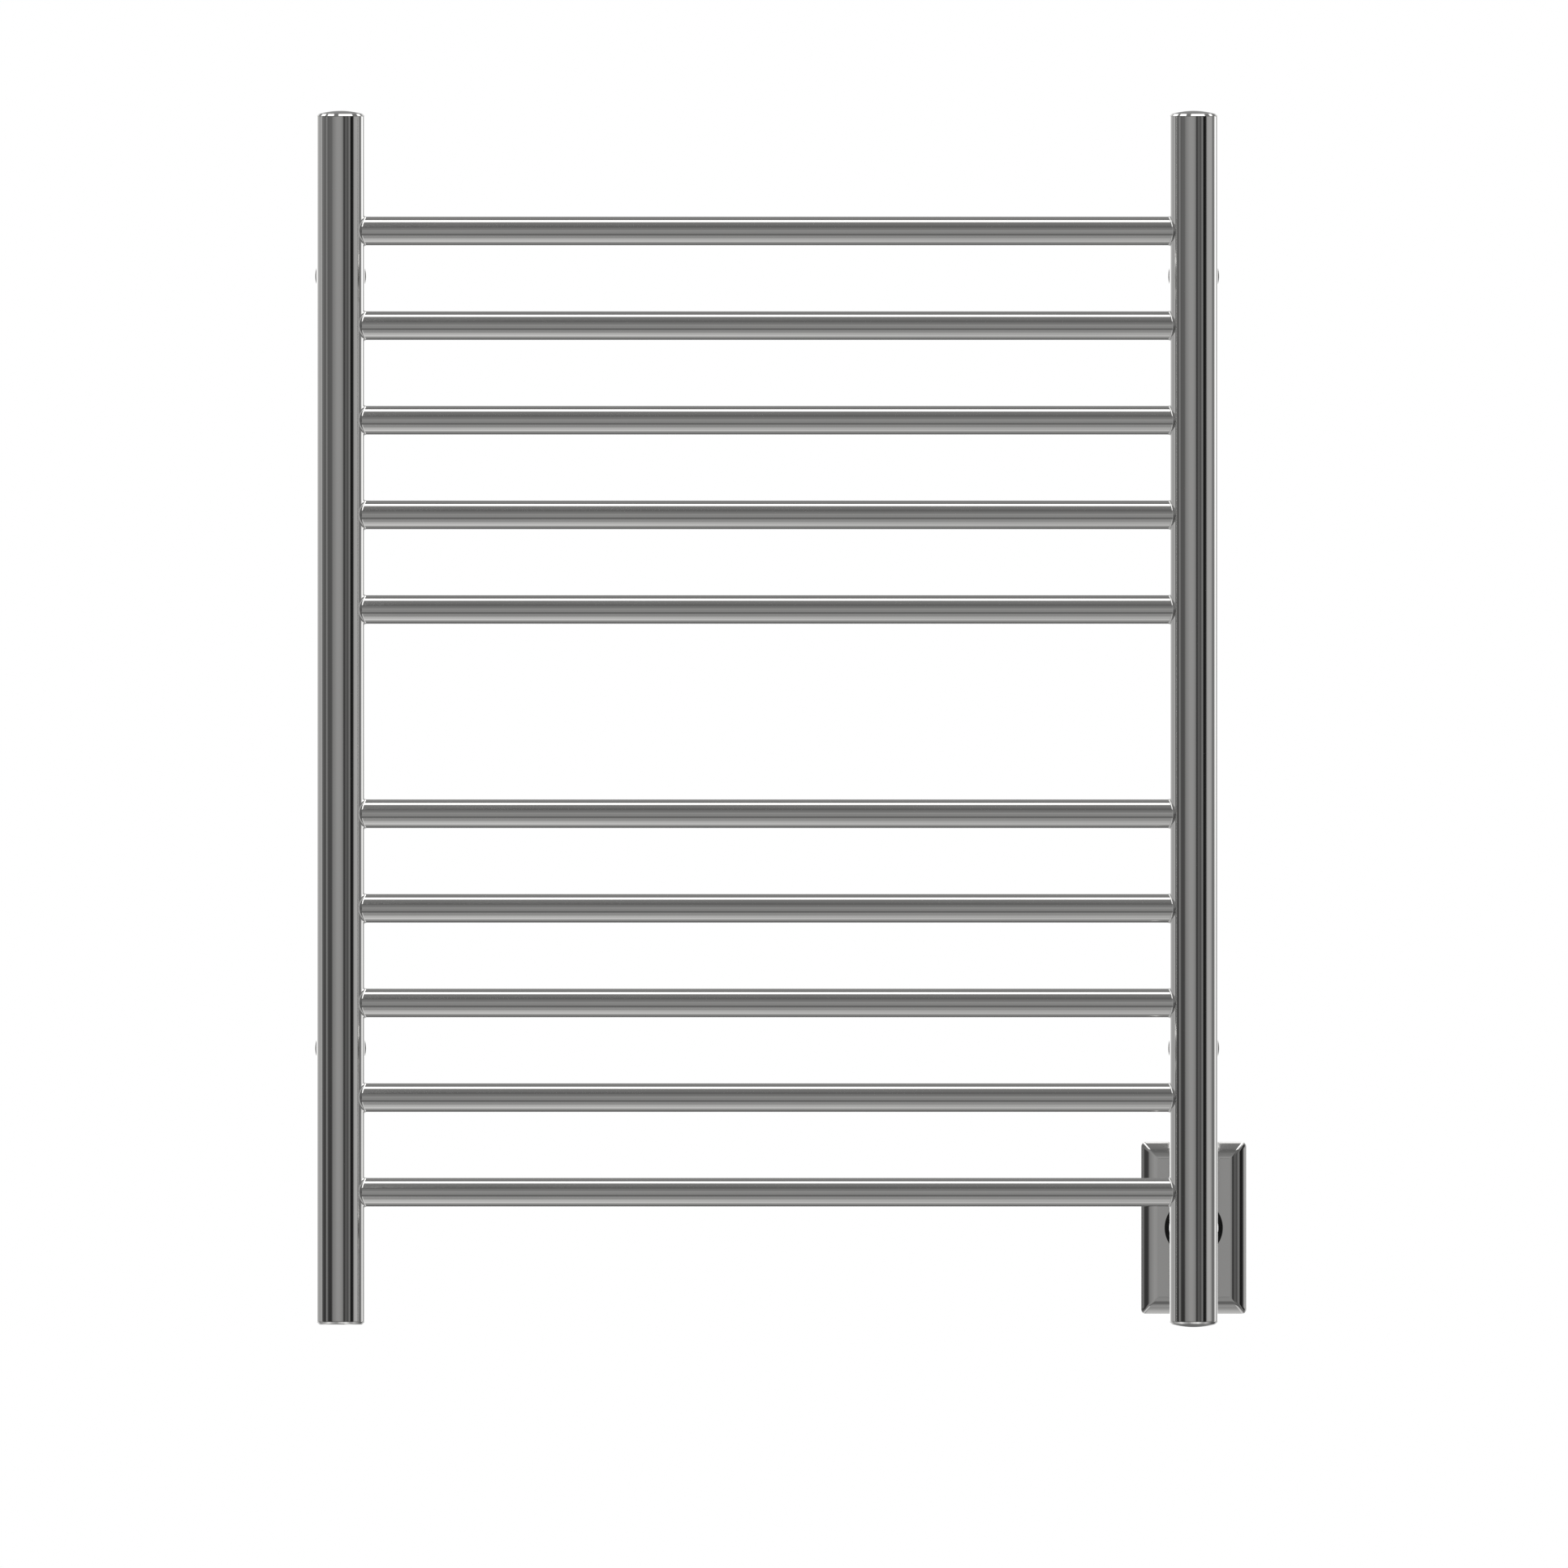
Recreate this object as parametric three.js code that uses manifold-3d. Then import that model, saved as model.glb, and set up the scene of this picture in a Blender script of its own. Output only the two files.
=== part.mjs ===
// A hardwired ladder towel warmer for a bathroom wall: two round posts joined by ten round bars in two
// banks of five, held off the wall by four standoffs, with the supply entering the foot of the right
// post through a conduit and a wall plate.
//
// Millimetres. +Z is up and +X is to the right, seen from the room. The wall is the plane y = 0 and the
// rack stands in front of it, at negative y. x = 0 is midway between the posts, and z = 0 is midway
// between the upper and the lower standoffs.
import * as THREE from 'three';
import { mergeVertices } from 'three/addons/utils/BufferGeometryUtils.js';
import Module from 'manifold-3d';

const wasm = await Module();
wasm.setup();

// ---- Driving dimensions ----------------------------------------------------------------------------

const GAP = 0.3; // air between pieces that touch, screw together or are welded
const LEFT = -1;
const RIGHT = 1;

const PROJECTION = 105; // wall to the common axis plane of the posts and bars
const POST = { radius: 16, wall: 1.5, spacing: 568, bottom: -439.2, top: 363.4, sides: 32 };
const BAR = { radius: 9.5, wall: 1.2, pitch: 63, perBank: 5, bankGap: 136, top: 287, sides: 20 };
const BAR_ENTRY = 12; // how near a bar's end comes to the post's axis

const STANDOFF = { spacing: 514, armRadius: 15, armWall: 3, sides: 20 };
const BOSS = { baseRadius: 14.8, baseThickness: 5, spigotLength: 30, cupRadius: 6.5, floor: 6 };
const SLEEVE = { radius: 17, bore: 15.3, length: 62, edge: 0.8, sides: 24 };
const SET_SCREW = { radius: 2.5, length: 4.2, socket: 1.45, fromWall: 18 };
const WALL_SCREW = { headRadius: 4.6, headHeight: 3, shankRadius: 2.2, holeRadius: 2.8, inWall: 25 };
const CROSS_SLOT = { width: 1.1, depth: 1 };

const CAP = { chamfer: 1.4, height: 3.6, domeSteps: 3, spigotLength: 8, spigotWall: 1.5, sides: 24 };
const BEZEL = { height: 1.9, edge: 1.4, bore: 9.6, spigotLength: 12 };
const BUTTON = { radius: 9.2, recess: 0.2, skirt: 6, stemRadius: 4, stemEnd: 18 };
const SWITCH_BODY = { radius: 12, length: 24, stemHole: 4.4, stemHoleDepth: 9 };

const SUPPLY_HEIGHT = -376.7; // the conduit's axis
const CONDUIT = { radius: 16, wall: 1.5, wireHole: 11 };
const PLATE = { width: 69.85, height: 114.3, depth: 6.5, rim: 1.5, border: 11, skin: 1.2, corner: 2.7 };
const PLATE_SCREW = { spacing: 83.3, headRadius: 3.4, headHeight: 1.4, shankRadius: 1.7, inWall: 12 };
const SCREW_SLOT = { width: 0.9, depth: 0.8 };
const BUSHING = { radius: 19.4, neck: 17.3, bore: 16.3, lip: 1.4, edge: 0.5 };
const GLAND = { length: 8, hole: 4.5, fromWall: 1 };
const SPLICE = { radius: 11, front: -46, back: -14, edge: 2 };

const HEATER = { radius: 2.2, bend: 10, drop: 4 };
const RETURN = { radius: 1.5, bend: 4.8, rise: 5, behind: 10 };
const SWITCH_LEAD = { radius: 1.7, bend: 10, aside: 6, behind: 5 };
const CUTOUT = { radius: 4, length: 24, aboveBar: 13, sides: 16 };
const SCREW_SIDES = 12;
const CLEAR = 1; // how far a cutting shape runs past the face that it cuts

const POST_X = POST.spacing / 2;
const STANDOFF_Z = STANDOFF.spacing / 2;
const PLUG_RADIUS = POST.radius - POST.wall - GAP; // anything that fits inside a post or the conduit

// Bar heights from the lowest to the highest.
function barHeights() {
  const heights = [];
  for (let i = 0; i < BAR.perBank; i++) heights.push(BAR.top - i * BAR.pitch);
  const lowerTop = heights[BAR.perBank - 1] - BAR.bankGap;
  for (let i = 0; i < BAR.perBank; i++) heights.push(lowerTop - i * BAR.pitch);
  return heights.reverse();
}

const BAR_Z = barHeights();

// ---- Materials -------------------------------------------------------------------------------------

function finish(color, roughness, metalness) {
  return new THREE.MeshStandardMaterial({ color, roughness, metalness });
}

const polishedSteel = finish(0xc4c2bf, 0.08, 1);
const zincSteel = finish(0xaeb0b2, 0.35, 1);
const blackPlastic = finish(0x141414, 0.4, 0);
const blackRubber = finish(0x1c1b1a, 0.65, 0);
const nylon = finish(0xd8d4c8, 0.6, 0);
const siliconeOrange = finish(0xb4553a, 0.5, 0);
const leadSheath = finish(0xe6e4df, 0.5, 0);

// ---- Geometry helpers ------------------------------------------------------------------------------

// Turns a shape made along Y so that it runs along the named axis.
const alongAxis = {
  x: (geometry) => geometry.rotateZ(-Math.PI / 2),
  y: (geometry) => geometry,
  z: (geometry) => geometry.rotateX(Math.PI / 2),
};

// A turned piece. Each outline point is [radius, place along the axis], walked up the outside and down
// the inside. It starts and ends on the axis, or is closed as a ring.
function turned(axis, outline, sides) {
  const points = outline.map(([radius, place]) => new THREE.Vector2(radius, place));
  return alongAxis[axis](new THREE.LatheGeometry(points, sides));
}

function tube(axis, outer, inner, from, to, sides) {
  const outline = [[inner, from], [outer, from], [outer, to], [inner, to], [inner, from]];
  return turned(axis, outline, sides);
}

function rod(axis, radius, from, to, sides) {
  const geometry = new THREE.CylinderGeometry(radius, radius, to - from, sides);
  geometry.translate(0, (from + to) / 2, 0);
  return alongAxis[axis](geometry);
}

function block(sizeX, sizeY, sizeZ, x, y, z) {
  return new THREE.BoxGeometry(sizeX, sizeY, sizeZ).translate(x, y, z);
}

// Outline points of an arc about (centreRadius, centrePlace), in degrees, both ends included.
function arc(centreRadius, centrePlace, radius, from, to, steps) {
  const points = [];
  for (let i = 0; i <= steps; i++) {
    const angle = THREE.MathUtils.degToRad(from + ((to - from) * i) / steps);
    points.push([centreRadius + radius * Math.cos(angle), centrePlace + radius * Math.sin(angle)]);
  }
  return points;
}

function toSolid(geometry) {
  const bare = new THREE.BufferGeometry().setAttribute('position', geometry.getAttribute('position'));
  bare.setIndex(geometry.index);
  const merged = mergeVertices(bare, 1e-4);
  const vertProperties = merged.attributes.position.array;
  const triVerts = new Uint32Array(merged.index.array);
  return new wasm.Manifold(new wasm.Mesh({ numProp: 3, vertProperties, triVerts }));
}

function toGeometry(solid) {
  const { vertProperties, triVerts } = solid.getMesh();
  const geometry = new THREE.BufferGeometry();
  geometry.setAttribute('position', new THREE.BufferAttribute(new Float32Array(vertProperties), 3));
  geometry.setIndex(new THREE.BufferAttribute(new Uint32Array(triVerts), 1));
  geometry.computeVertexNormals();
  return geometry;
}

function cut(geometry, tools) {
  const solids = tools.map(toSolid);
  return toGeometry(solids.reduce((body, tool) => body.subtract(tool), toSolid(geometry)));
}

function common(geometry, other) {
  return toGeometry(toSolid(geometry).intersect(toSolid(other)));
}

function add(parent, name, geometry, material) {
  const mesh = new THREE.Mesh(geometry, material);
  mesh.name = name;
  parent.add(mesh);
  return mesh;
}

function place(parent, x, y, z) {
  const group = new THREE.Group();
  group.position.set(x, y, z);
  parent.add(group);
  return group;
}

// A wire's centre line: straight runs between the given corners, each corner rounded to the bend radius.
// It is sampled at the ends of its straight runs and at even steps round its bends.
class WirePath extends THREE.Curve {
  static BEND_STEPS = 3;

  constructor(corners, bendRadius) {
    super();
    const points = corners.map((corner) => new THREE.Vector3(...corner));
    const last = points.length - 1;
    const direction = (i) => points[i + 1].clone().sub(points[i]).normalize();
    this.stations = [{ point: points[0], tangent: direction(0) }];
    for (let i = 1; i < last; i++) this.addBend(points[i], direction(i - 1), direction(i), bendRadius);
    this.stations.push({ point: points[last], tangent: direction(last - 1) });
  }

  addBend(corner, incoming, outgoing, radius) {
    const turn = incoming.angleTo(outgoing);
    const start = corner.clone().addScaledVector(incoming, -radius * Math.tan(turn / 2));
    const inward = outgoing.clone().addScaledVector(incoming, -incoming.dot(outgoing)).normalize();
    for (let i = 0; i <= WirePath.BEND_STEPS; i++) {
      const angle = (turn * i) / WirePath.BEND_STEPS;
      const point = start.clone();
      point.addScaledVector(incoming, radius * Math.sin(angle));
      point.addScaledVector(inward, radius * (1 - Math.cos(angle)));
      const tangent = incoming.clone().multiplyScalar(Math.cos(angle));
      tangent.addScaledVector(inward, Math.sin(angle));
      this.stations.push({ point, tangent });
    }
  }

  between(t, key) {
    const last = this.stations.length - 1;
    const index = Math.min(Math.floor(t * last + 1e-6), last - 1);
    return this.stations[index][key].clone().lerp(this.stations[index + 1][key], t * last - index);
  }

  getPoint(t) {
    return this.between(t, 'point');
  }

  getPointAt(t) {
    return this.getPoint(t);
  }

  getTangentAt(t) {
    return this.between(t, 'tangent').normalize();
  }
}

function wire(corners, { radius, bend }) {
  const section = new THREE.Shape().absarc(0, 0, radius, 0, 2 * Math.PI);
  const path = new WirePath(corners, bend);
  const steps = path.stations.length - 1;
  return new THREE.ExtrudeGeometry(section, { extrudePath: path, steps, curveSegments: 4 });
}

// ---- Posts and bars --------------------------------------------------------------------------------

// A post, drilled on its inner side for the bars. The right post is also drilled at the back, for the
// wires that come in through the conduit.
function post(side) {
  const inward = side === LEFT ? [0, POST.radius + CLEAR] : [-POST.radius - CLEAR, 0];
  const holes = BAR_Z.map((z) =>
    rod('x', BAR.radius + GAP, inward[0], inward[1], BAR.sides).translate(0, 0, z));
  if (side === RIGHT) {
    const wires = rod('y', CONDUIT.wireHole, 0, POST.radius + CLEAR, STANDOFF.sides);
    holes.push(wires.translate(0, 0, SUPPLY_HEIGHT));
  }
  const shell = tube('z', POST.radius, POST.radius - POST.wall, POST.bottom, POST.top, POST.sides);
  return cut(shell, holes);
}

function bar() {
  const reach = POST_X - BAR_ENTRY;
  return tube('x', BAR.radius, BAR.radius - BAR.wall, -reach, reach, BAR.sides);
}

// The post with its air gap, seen from a point on the wall behind it. It shapes the front end of a tube
// that stops against the post.
function postSaddle() {
  return rod('z', POST.radius + GAP, -4 * POST.radius, 4 * POST.radius, POST.sides)
    .translate(0, -PROJECTION, 0);
}

// ---- End caps and switch, with the end of the post at 0 and the outside at positive places ---------

// Plug with a chamfered rim and a shallow dome.
function domedCap() {
  const domeRadius = POST.radius - CAP.chamfer;
  const domeFoot = GAP + CAP.chamfer;
  const rim = [[POST.radius, GAP], [domeRadius, domeFoot]];
  const rise = CAP.height - domeFoot;
  const dome = [];
  for (let step = CAP.domeSteps - 1; step >= 0; step--) {
    const share = step / CAP.domeSteps;
    dome.push([domeRadius * share, CAP.height - rise * share ** 2]);
  }
  const inner = PLUG_RADIUS - CAP.spigotWall;
  const spigot = [[0, GAP], [inner, GAP], [inner, -CAP.spigotLength], [PLUG_RADIUS, -CAP.spigotLength]];
  return turned('z', [...spigot, [PLUG_RADIUS, GAP], ...rim, ...dome], CAP.sides);
}

function switchBezel() {
  const edge = arc(POST.radius - BEZEL.edge, BEZEL.height - BEZEL.edge, BEZEL.edge, 0, 90, 3);
  const spigot = [[BEZEL.bore, -BEZEL.spigotLength], [PLUG_RADIUS, -BEZEL.spigotLength], [PLUG_RADIUS, GAP]];
  const face = [[BEZEL.bore, BEZEL.height], [BEZEL.bore, -BEZEL.spigotLength]];
  return turned('z', [...spigot, [POST.radius, GAP], ...edge, ...face], CAP.sides);
}

function switchButton() {
  const face = BEZEL.height - BUTTON.recess;
  const chamfer = 2 * BUTTON.recess;
  const outline = [
    [0, -BUTTON.stemEnd], [BUTTON.stemRadius, -BUTTON.stemEnd], [BUTTON.stemRadius, -BUTTON.skirt],
    [BUTTON.radius, -BUTTON.skirt], [BUTTON.radius, face - chamfer],
    [BUTTON.radius - chamfer, face], [0, face],
  ];
  return turned('z', outline, STANDOFF.sides);
}

function switchBody() {
  const mouth = -BEZEL.spigotLength - GAP;
  const back = mouth - SWITCH_BODY.length;
  const holeEnd = mouth - SWITCH_BODY.stemHoleDepth;
  const outline = [
    [0, back], [SWITCH_BODY.radius, back], [SWITCH_BODY.radius, mouth],
    [SWITCH_BODY.stemHole, mouth], [SWITCH_BODY.stemHole, holeEnd], [0, holeEnd],
  ];
  return turned('z', outline, STANDOFF.sides);
}

// ---- Standoffs, about the wall point behind the post -----------------------------------------------

// Tube welded to the back of the post. It slips over the boss that is screwed to the wall.
function standoffArm() {
  const back = -BOSS.baseThickness - GAP;
  const inner = STANDOFF.armRadius - STANDOFF.armWall;
  const shell = tube('y', STANDOFF.armRadius, inner, -PROJECTION, back, STANDOFF.sides);
  const thread = rod('z', SET_SCREW.radius + GAP, -STANDOFF.armRadius - CLEAR, 0, SCREW_SIDES);
  return cut(shell, [postSaddle(), thread.translate(0, -SET_SCREW.fromWall, 0)]);
}

// Cup screwed to the wall through its floor, with a dimple under its spigot for the set screw.
function wallBoss() {
  const spigot = STANDOFF.armRadius - STANDOFF.armWall - GAP;
  const front = -BOSS.baseThickness - BOSS.spigotLength;
  const outline = [
    [spigot, front], [spigot, -BOSS.baseThickness], [BOSS.baseRadius, -BOSS.baseThickness],
    [BOSS.baseRadius, 0], [WALL_SCREW.holeRadius, 0], [WALL_SCREW.holeRadius, -BOSS.floor],
    [BOSS.cupRadius, -BOSS.floor], [BOSS.cupRadius, front], [spigot, front],
  ];
  const tip = setScrewTip() + GAP;
  const dimple = rod('z', SET_SCREW.radius + GAP, -spigot - CLEAR, tip, SCREW_SIDES);
  return cut(turned('y', outline, STANDOFF.sides), [dimple.translate(0, -SET_SCREW.fromWall, 0)]);
}

// Height of the set screw's inner end above the arm's axis.
function setScrewTip() {
  return SET_SCREW.length + GAP - STANDOFF.armRadius;
}

// Socket set screw, just below the arm's surface.
function setScrew() {
  const tip = setScrewTip();
  const foot = tip - SET_SCREW.length;
  const socket = rod('z', SET_SCREW.socket, foot - CLEAR, foot + SET_SCREW.length / 2, 6);
  const body = rod('z', SET_SCREW.radius, foot, tip, SCREW_SIDES);
  return cut(body, [socket]).translate(0, -SET_SCREW.fromWall, 0);
}

// Pan-head screw with a cross recess. Its shank runs on into the wall.
function wallScrew() {
  const seat = -BOSS.floor - GAP;
  const top = seat - WALL_SCREW.headHeight;
  const head = WALL_SCREW.headRadius;
  const shank = WALL_SCREW.shankRadius;
  const taper = 2 * shank;
  const crown = head - WALL_SCREW.headHeight / 2;
  const outline = [
    [0, top], [crown, top], [head, top + WALL_SCREW.headHeight / 2], [head, seat], [shank, seat],
    [shank, WALL_SCREW.inWall - taper], [0, WALL_SCREW.inWall],
  ];
  const { width, depth } = CROSS_SLOT;
  const slots = [block(head, 2 * depth, width, 0, top, 0), block(width, 2 * depth, head, 0, top, 0)];
  return cut(turned('y', outline, SCREW_SIDES), slots);
}

// Tube that hides the arm's foot, the boss and the set screw. It slides forward on the arm.
function coverSleeve() {
  const front = -SLEEVE.length;
  const outline = [
    [SLEEVE.bore, front], [SLEEVE.radius - SLEEVE.edge, front], [SLEEVE.radius, front + SLEEVE.edge],
    [SLEEVE.radius, -GAP], [SLEEVE.bore, -GAP], [SLEEVE.bore, front],
  ];
  return turned('y', outline, SLEEVE.sides);
}

// ---- Supply side, about the wall point behind the right post at the conduit's height ---------------

function powerConduit() {
  const shell = tube('y', CONDUIT.radius, CONDUIT.radius - CONDUIT.wall, -PROJECTION, -GAP, POST.sides);
  return cut(shell, [postSaddle()]);
}

function rectangle(width, height, corner) {
  const x = width / 2;
  const z = height / 2;
  const shape = new THREE.Shape().moveTo(x, z - corner);
  if (corner > 0) shape.absarc(x - corner, z - corner, corner, 0, Math.PI / 2);
  shape.lineTo(corner - x, z);
  if (corner > 0) shape.absarc(corner - x, z - corner, corner, Math.PI / 2, Math.PI);
  shape.lineTo(-x, corner - z);
  if (corner > 0) shape.absarc(corner - x, corner - z, corner, Math.PI, 1.5 * Math.PI);
  shape.lineTo(x - corner, -z);
  if (corner > 0) shape.absarc(x - corner, corner - z, corner, 1.5 * Math.PI, 2 * Math.PI);
  return shape.closePath();
}

// The plate's form, drawn in by the inset: a flat centre inside a mitred border that curves back to the
// rim. It faces -Y, and it also curves back behind the wall plane.
function plateForm(inset) {
  const flat = rectangle(PLATE.width - 2 * PLATE.border, PLATE.height - 2 * PLATE.border, 0);
  const form = new THREE.ExtrudeGeometry(flat, {
    depth: PLATE.rim,
    bevelSize: PLATE.border - inset,
    bevelThickness: PLATE.depth - PLATE.rim - inset,
    bevelSegments: 6,
  });
  return facingRoom(form);
}

// Turns a form drawn in X and Y and extruded along +Z so that it is extruded along -Y, into the room.
function facingRoom(geometry) {
  return geometry.rotateX(Math.PI / 2);
}

// The plate inside its rounded outline, hollow behind, with holes for the bushing and the screws.
function wallPlate() {
  const rounded = new THREE.ExtrudeGeometry(rectangle(PLATE.width, PLATE.height, PLATE.corner), {
    depth: PLATE.depth, bevelEnabled: false, curveSegments: 4,
  });
  const front = -PLATE.depth - CLEAR;
  const screwHoles = [-1, 1].map((end) => {
    const hole = rod('y', PLATE_SCREW.shankRadius + GAP, front, 0, SCREW_SIDES);
    return hole.translate(0, 0, (end * PLATE_SCREW.spacing) / 2);
  });
  const bushingHole = rod('y', BUSHING.neck + GAP, front, CLEAR, POST.sides);
  const plate = common(plateForm(0), facingRoom(rounded));
  return cut(plate, [plateForm(PLATE.skin), bushingHole, ...screwHoles]);
}

// Grooved ring that holds the plate's hole off the conduit.
function outletBushing() {
  const { radius, neck, bore, lip, edge } = BUSHING;
  const face = -PLATE.depth - GAP;
  const front = face - lip;
  const back = -PLATE.depth + PLATE.skin + GAP;
  const outline = [
    [bore, front], [radius - edge, front], [radius, front + edge], [radius, face], [neck, face],
    [neck, back], [radius, back], [radius, back + lip], [bore, back + lip], [bore, front],
  ];
  return turned('y', outline, POST.sides);
}

// Slotted screw with a low domed head.
function plateScrew() {
  const { headRadius, headHeight, shankRadius, inWall } = PLATE_SCREW;
  const seat = -PLATE.depth - GAP;
  const top = seat - headHeight;
  const outline = [
    [0, top], [headRadius * 0.65, top + headHeight * 0.2], [headRadius, seat - headHeight * 0.3],
    [headRadius, seat], [shankRadius, seat], [shankRadius, inWall - shankRadius / 2],
    [shankRadius / 2, inWall], [0, inWall],
  ];
  const slot = block(3 * headRadius, 2 * SCREW_SLOT.depth, SCREW_SLOT.width, 0, top, 0);
  return cut(turned('y', outline, SCREW_SIDES), [slot]);
}

// Seal in the conduit's mouth that the house supply comes in through.
function cableGland() {
  const back = -GLAND.fromWall;
  return tube('y', PLUG_RADIUS, GLAND.hole, back - GLAND.length, back, STANDOFF.sides);
}

// Moulded joint of the heating cable, the return lead and the switch lead.
function leadSplice() {
  const { radius, front, back, edge } = SPLICE;
  const outline = [
    [0, front], [radius - edge, front], [radius, front + edge],
    [radius, back - edge], [radius - edge, back], [0, back],
  ];
  return turned('y', outline, STANDOFF.sides);
}

// ---- Wiring, in the rack's own frame ---------------------------------------------------------------

const WIRE_START = SPLICE.front - GAP;
const CUTOUT_Z = BAR.top + CUTOUT.aboveBar;

// From the splice into the right post, back and forth through every bar from the lowest to the highest,
// then up to the thermal cutout.
function heatingCable() {
  const inlet = SUPPLY_HEIGHT - HEATER.drop;
  const route = [[POST_X, WIRE_START, inlet], [POST_X, -PROJECTION, inlet]];
  BAR_Z.forEach((z, i) => {
    const side = i % 2 === 0 ? RIGHT : LEFT;
    route.push([side * POST_X, -PROJECTION, z], [-side * POST_X, -PROJECTION, z]);
  });
  route.push([POST_X, -PROJECTION, CUTOUT_Z - GAP]);
  return wire(route, HEATER);
}

// From the top of the cutout, over and down the back of the right post to the splice.
function returnLead() {
  const top = CUTOUT_Z + CUTOUT.length + GAP;
  const crest = top + 2 * RETURN.bend;
  const y = RETURN.behind - PROJECTION;
  const outlet = SUPPLY_HEIGHT + RETURN.rise;
  const route = [[POST_X, -PROJECTION, top], [POST_X, -PROJECTION, crest], [POST_X, y, crest]];
  route.push([POST_X, y, outlet], [POST_X, WIRE_START, outlet]);
  return wire(route, RETURN);
}

// From the splice through the lowest bar, behind the heating cable, and down to the switch.
function switchLead() {
  const x = POST_X + SWITCH_LEAD.aside;
  const y = SWITCH_LEAD.behind - PROJECTION;
  const end = POST.bottom + BEZEL.spigotLength + SWITCH_BODY.length + 2 * GAP;
  const route = [[x, WIRE_START, SUPPLY_HEIGHT], [x, y, SUPPLY_HEIGHT], [x, y, BAR_Z[0]]];
  route.push([-POST_X, y, BAR_Z[0]], [-POST_X, y, end]);
  return wire(route, SWITCH_LEAD);
}

// ---- Assembly --------------------------------------------------------------------------------------

const rack = new THREE.Group();
const sides = { left: LEFT, right: RIGHT };
const levels = { upper: STANDOFF_Z, lower: -STANDOFF_Z };

for (const [name, side] of Object.entries(sides)) {
  const axis = place(rack, side * POST_X, -PROJECTION, 0);
  add(axis, `post_${name}`, post(side), polishedSteel);
  add(place(axis, 0, 0, POST.top), `cap_top_${name}`, domedCap(), polishedSteel);
}

[...BAR_Z].reverse().forEach((z, i) => {
  const number = String(i + 1).padStart(2, '0');
  add(place(rack, 0, -PROJECTION, z), `bar_${number}`, bar(), polishedSteel);
});

for (const [level, z] of Object.entries(levels)) {
  for (const [name, side] of Object.entries(sides)) {
    const wallPoint = place(rack, side * POST_X, 0, z);
    add(wallPoint, `standoff_arm_${level}_${name}`, standoffArm(), polishedSteel);
    add(wallPoint, `cover_sleeve_${level}_${name}`, coverSleeve(), polishedSteel);
    add(wallPoint, `wall_boss_${level}_${name}`, wallBoss(), zincSteel);
    add(wallPoint, `set_screw_${level}_${name}`, setScrew(), zincSteel);
    add(wallPoint, `wall_screw_${level}_${name}`, wallScrew(), zincSteel);
  }
}

const rightFoot = place(rack, POST_X, -PROJECTION, POST.bottom);
rightFoot.rotation.x = Math.PI;
add(rightFoot, 'cap_bottom_right', domedCap(), polishedSteel);

const leftFoot = place(rack, -POST_X, -PROJECTION, POST.bottom);
leftFoot.rotation.x = Math.PI;
add(leftFoot, 'switch_bezel', switchBezel(), polishedSteel);
add(leftFoot, 'switch_button', switchButton(), polishedSteel);
add(leftFoot, 'switch_body', switchBody(), nylon);

const supply = place(rack, POST_X, 0, SUPPLY_HEIGHT);
add(supply, 'power_conduit', powerConduit(), polishedSteel);
add(supply, 'wall_plate', wallPlate(), polishedSteel);
add(supply, 'outlet_bushing', outletBushing(), blackPlastic);
add(supply, 'cable_gland', cableGland(), blackRubber);
add(supply, 'lead_splice', leadSplice(), nylon);
add(place(supply, 0, 0, PLATE_SCREW.spacing / 2), 'plate_screw_upper', plateScrew(), polishedSteel);
add(place(supply, 0, 0, -PLATE_SCREW.spacing / 2), 'plate_screw_lower', plateScrew(), polishedSteel);

add(rack, 'heating_cable', heatingCable(), siliconeOrange);
add(rack, 'return_lead', returnLead(), leadSheath);
add(rack, 'switch_lead', switchLead(), leadSheath);
const cutout = rod('z', CUTOUT.radius, 0, CUTOUT.length, CUTOUT.sides);
add(place(rack, POST_X, -PROJECTION, CUTOUT_Z), 'thermal_cutout', cutout, nylon);

export default rack;
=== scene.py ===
"""Looks of the ladder towel warmer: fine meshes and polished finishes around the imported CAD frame.

Metres, in the frame's own axes: +Z is up, +X is to the right seen from the room, the wall is the plane
y = 0 and the rack stands in front of it. Short lengths are written in millimetres and multiplied by MM.
"""
import math

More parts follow.
